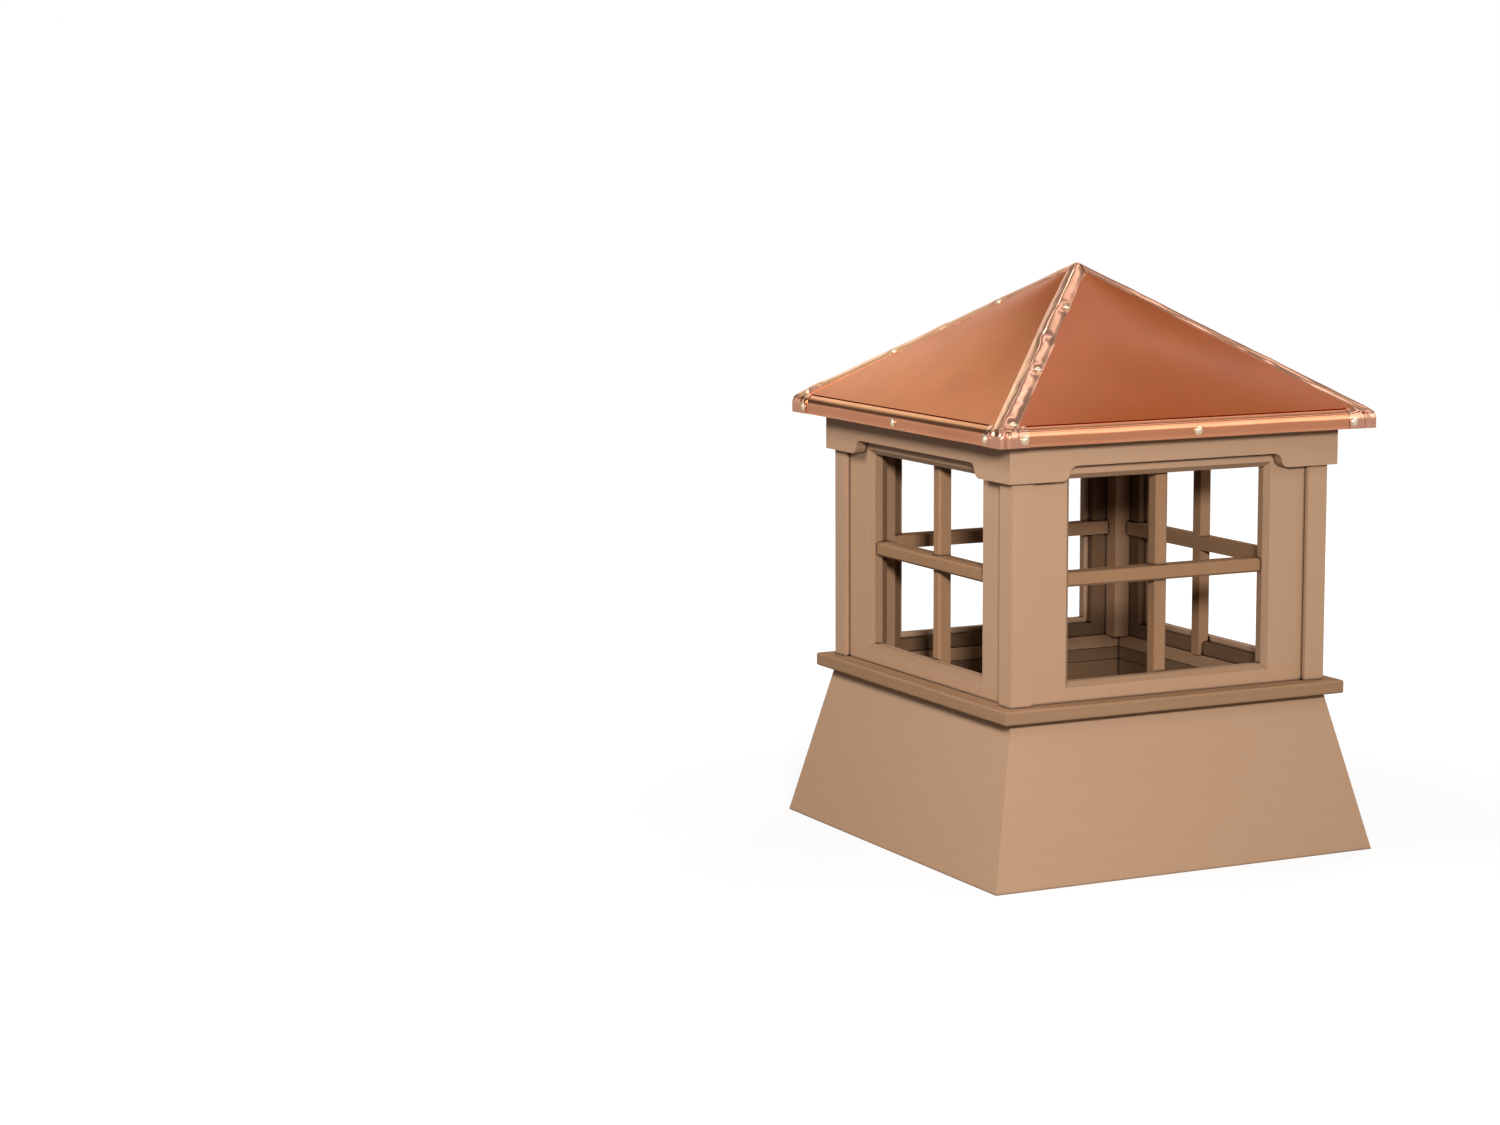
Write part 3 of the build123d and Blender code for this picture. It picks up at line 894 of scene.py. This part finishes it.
def pale_floor():
    """Disc on the ground plane: two rings of points round the middle, the inner one closed by a fan."""
    turn = np.linspace(0, math.tau, FLOOR_STEPS, endpoint=False)
    ring = np.stack([np.cos(turn), np.sin(turn), np.zeros_like(turn)], axis=1)
    points = np.vstack([[[0, 0, 0]], ring * FLOOR_MIDDLE, ring * FLOOR_RADIUS])
    inner = np.arange(FLOOR_STEPS) + 1
    following = np.roll(inner, -1)
    fan = np.stack([np.zeros_like(inner), inner, following], axis=1).tolist()
    outer = np.stack([inner, inner + FLOOR_STEPS, following + FLOOR_STEPS, following], axis=1).tolist()
    mesh = bpy.data.meshes.new("pale_floor")
    mesh.from_pydata(points.tolist(), [], fan + outer)
    mesh.materials.append(paper_material())
    floor = bpy.data.objects.new("pale_floor", mesh)
    bpy.context.collection.objects.link(floor)
    return floor


print("floor:", pale_floor().name, "radius", FLOOR_RADIUS)

# %% [markdown]
# ## The room that the copper mirrors
#
# Copper is only as good as what it mirrors, and from the camera each part of the roof mirrors another part
# of the room. The left slope mirrors the wall behind the cupola: bright up to thirty degrees and dim above,
# which draws the slope from tan to brown. The front slope mirrors the ceiling, where soft rows of lamps
# drift over it. The bend of the front band mirrors a lit wall behind the camera and shines, and the bend of
# the left band mirrors a dark curtain and stays brown.
#
# All of this is for glossy rays. For the light that falls on the boards the same world is a weak warm fill,
# and the camera itself sees plain white.

# %% Walls of the room, by height
SKY_STEPS = ((0.0, 0.72), (0.3, 1.0), (0.46, 1.0), (0.54, 0.24), (0.68, 0.4), (0.8, 0.56), (1.0, 0.56))

world = bpy.data.worlds.new("studio")
bpy.context.scene.world = world
world.use_nodes = True
sky = world.node_tree
sky.nodes.clear()
direction = add_node(sky, "ShaderNodeTexCoord").outputs["Generated"]
height = add_node(sky, "ShaderNodeSeparateXYZ", Vector=direction)
walls = add_node(sky, "ShaderNodeValToRGB", _0=height.outputs["Z"])
for position, _ in SKY_STEPS[1:-1]:
    walls.color_ramp.elements.new(position)
for element, (_, value) in zip(walls.color_ramp.elements, SKY_STEPS):
    element.color = (value, value, value, 1)
print("wall heights:", [round(element.position, 2) for element in walls.color_ramp.elements])

# %% Rows of lamps on the ceiling
STRIP_SPACING = 0.5
STRIP_START = -0.2
STRIP_NARROWNESS = 3.0
STRIP_GLOW = 3.6
BETWEEN_STRIPS = 0.6
CEILING_START, CEILING_FULL = 0.6, 0.75

depth = add_node(
    sky, "ShaderNodeMath", {"operation": "DIVIDE"}, _0=height.outputs["Y"], _1=height.outputs["Z"]
)
shifted = add_node(sky, "ShaderNodeMath", {"operation": "ADD"}, _0=depth.outputs[0], _1=STRIP_START)
cycles = add_node(
    sky, "ShaderNodeMath", {"operation": "MULTIPLY"}, _0=shifted.outputs[0], _1=math.tau / STRIP_SPACING
)
swing = add_node(sky, "ShaderNodeMath", {"operation": "SINE"}, _0=cycles.outputs[0])
lit = add_node(sky, "ShaderNodeMath", {"operation": "MAXIMUM"}, _0=swing.outputs[0], _1=0.0)
narrow = add_node(sky, "ShaderNodeMath", {"operation": "POWER"}, _0=lit.outputs[0], _1=STRIP_NARROWNESS)
strips = add_node(
    sky, "ShaderNodeMath", {"operation": "MULTIPLY_ADD"}, _0=narrow.outputs[0], _1=STRIP_GLOW,
    _2=BETWEEN_STRIPS,
)
overhead = add_node(
    sky, "ShaderNodeMapRange", Value=height.outputs["Z"], _1=CEILING_START, _2=CEILING_FULL, _3=0.0, _4=1.0
)
lamp_rows = add_node(
    sky, "ShaderNodeMix", {"data_type": "FLOAT"}, _0=overhead.outputs[0], _2=1.0, _3=strips.outputs[0]
)
print("ceiling: a row of lamps every", STRIP_SPACING, "of its height")

# %% The dark curtain and the lit wall
CURTAIN_AIM = (-0.28, 0.88, 0.36)
CURTAIN_EDGE = math.cos(math.radians(23))
CURTAIN_FULL = math.cos(math.radians(15))
CURTAIN_DARK = 0.12
WALL_AIM = (0.52, -0.72, 0.45)
WALL_EDGE = math.cos(math.radians(30))
WALL_FULL = math.cos(math.radians(20))
WALL_GLOW = 1.2

towards_curtain = add_node(
    sky, "ShaderNodeVectorMath", {"operation": "DOT_PRODUCT"}, _0=direction, _1=CURTAIN_AIM
)
curtain = add_node(
    sky, "ShaderNodeMapRange", {"interpolation_type": "SMOOTHSTEP"}, Value=towards_curtain.outputs["Value"],
    _1=CURTAIN_EDGE, _2=CURTAIN_FULL, _3=1.0, _4=CURTAIN_DARK,
)
dimmed = add_node(
    sky, "ShaderNodeMath", {"operation": "MULTIPLY"}, _0=lamp_rows.outputs[0], _1=curtain.outputs[0]
)
room = add_node(
    sky, "ShaderNodeMix", {"data_type": "RGBA", "blend_type": "MULTIPLY"}, _0=1.0, _6=walls.outputs[0],
    _7=dimmed.outputs[0],
)
towards_wall = add_node(
    sky, "ShaderNodeVectorMath", {"operation": "DOT_PRODUCT"}, _0=direction, _1=WALL_AIM
)
lit_wall = add_node(
    sky, "ShaderNodeMapRange", {"interpolation_type": "SMOOTHSTEP"}, Value=towards_wall.outputs["Value"],
    _1=WALL_EDGE, _2=WALL_FULL, _3=0.0, _4=WALL_GLOW,
)
with_wall = add_node(
    sky, "ShaderNodeMix", {"data_type": "RGBA", "blend_type": "ADD"}, _0=1.0, _6=room.outputs[2],
    _7=lit_wall.outputs[0],
)
print("curtain towards", CURTAIN_AIM, "lit wall towards", WALL_AIM)

# %% What each kind of ray meets
FILL = (0.095, 0.08, 0.065, 1)

rays = add_node(sky, "ShaderNodeLightPath")
lit_or_mirrored = add_node(
    sky, "ShaderNodeMix", {"data_type": "RGBA"}, _0=rays.outputs["Is Glossy Ray"], _6=FILL,
    _7=with_wall.outputs[2],
)
or_seen = add_node(
    sky, "ShaderNodeMix", {"data_type": "RGBA"}, _0=rays.outputs["Is Camera Ray"],
    _6=lit_or_mirrored.outputs[2], _7=WHITE,
)
glow = add_node(sky, "ShaderNodeBackground", Color=or_seen.outputs[2], Strength=1.0)
add_node(sky, "ShaderNodeOutputWorld", Surface=glow.outputs[0])
print("world:", world.name, "fill", FILL)

# %% [markdown]
# ## Soft boxes
#
# The lamps stand round the cupola as in a studio. The front one is small, so the frieze, the ledge and the
# bars throw shadows with a clear edge, and the left and right ones are large and soft. The right one and the
# one far behind light the boards alone, because their mirror images would bleach the copper. A hair light
# from behind parts the hips from the background. The roof lamp is weak, yellowish and close. Only
# reflections see it, as the pale patch at the foot of the left slope.

# %% Soft boxes
AIM = Vector((0, 0, 0.42))
YELLOWISH = (0.86, 1.0, 0.68)


def softbox(name, azimuth, elevation, distance, size, power):
    """Square area lamp: azimuth from the front towards +X, elevation up, in degrees. It faces the cupola."""
    turn, rise = math.radians(azimuth), math.radians(elevation)
    away = Vector((math.sin(turn) * math.cos(rise), -math.cos(turn) * math.cos(rise), math.sin(rise)))
    lamp = bpy.data.lights.new(name, "AREA")
    lamp.shape = "SQUARE"
    lamp.size = size
    lamp.energy = power
    rig = bpy.data.objects.new(name, lamp)
    rig.location = AIM + away * distance
    rig.rotation_euler = away.to_track_quat("Z", "Y").to_euler()
    bpy.context.collection.objects.link(rig)
    return rig


# Name, azimuth and elevation in degrees, distance and size in metres, power in watts.
softbox("front_softbox", -28, 16, 3.0, 0.3, 74)
softbox("left_softbox", -95, 37, 2.8, 1.0, 42)
softbox("right_softbox", 48, 34, 3.0, 2.0, 27).visible_glossy = False
softbox("hair_softbox", 158, 53, 2.5, 0.35, 2.3)
softbox("far_softbox", 128, 16, 3.2, 1.4, 60).visible_glossy = False
roof_lamp = softbox("roof_softbox", -162.3, 40.8, 1.04, 0.46, 0.35)
roof_lamp.data.color = YELLOWISH
roof_lamp.visible_camera = False
roof_lamp.visible_diffuse = False
print("lamps:", [lamp.name for lamp in bpy.data.lights])

# %% [markdown]
# ## Camera
#
# The camera stands where the photographer stood: a little above the cupola and to the left of its front. The
# cupola fills the right half of the frame, so the camera is stepped aside from the line that it looks along.
# A long lens keeps the uprights upright.

# %% Camera
VIEW_AZIMUTH = math.radians(-26.04)
VIEW_ELEVATION = math.radians(8.04)
VIEW_ROLL = math.radians(0.25)
VIEW_DISTANCE = 4802 * MM
VIEW_RIGHT = 464.5 * MM
VIEW_UP = -387 * MM
LENS_MM = 79.54
SENSOR_MM = 36


def photo_camera():
    """Camera from its view direction: back along it, then stepped left and up in its own frame."""
    back = Vector((
        math.sin(VIEW_AZIMUTH) * math.cos(VIEW_ELEVATION),
        -math.cos(VIEW_AZIMUTH) * math.cos(VIEW_ELEVATION),
        math.sin(VIEW_ELEVATION),
    ))
    right = Vector((math.cos(VIEW_AZIMUTH), math.sin(VIEW_AZIMUTH), 0))
    up = back.cross(right)
    lens = bpy.data.cameras.new("photo_camera")
    lens.lens = LENS_MM
    lens.sensor_width = SENSOR_MM
    camera = bpy.data.objects.new("photo_camera", lens)
    turned = Matrix((right, up, back)).transposed().to_4x4() @ Matrix.Rotation(-VIEW_ROLL, 4, "Z")
    place = back * VIEW_DISTANCE - right * VIEW_RIGHT - up * VIEW_UP
    camera.matrix_world = Matrix.Translation(place) @ turned
    bpy.context.collection.objects.link(camera)
    bpy.context.scene.camera = camera
    return camera


print("camera at:", [round(part, 3) for part in photo_camera().location])
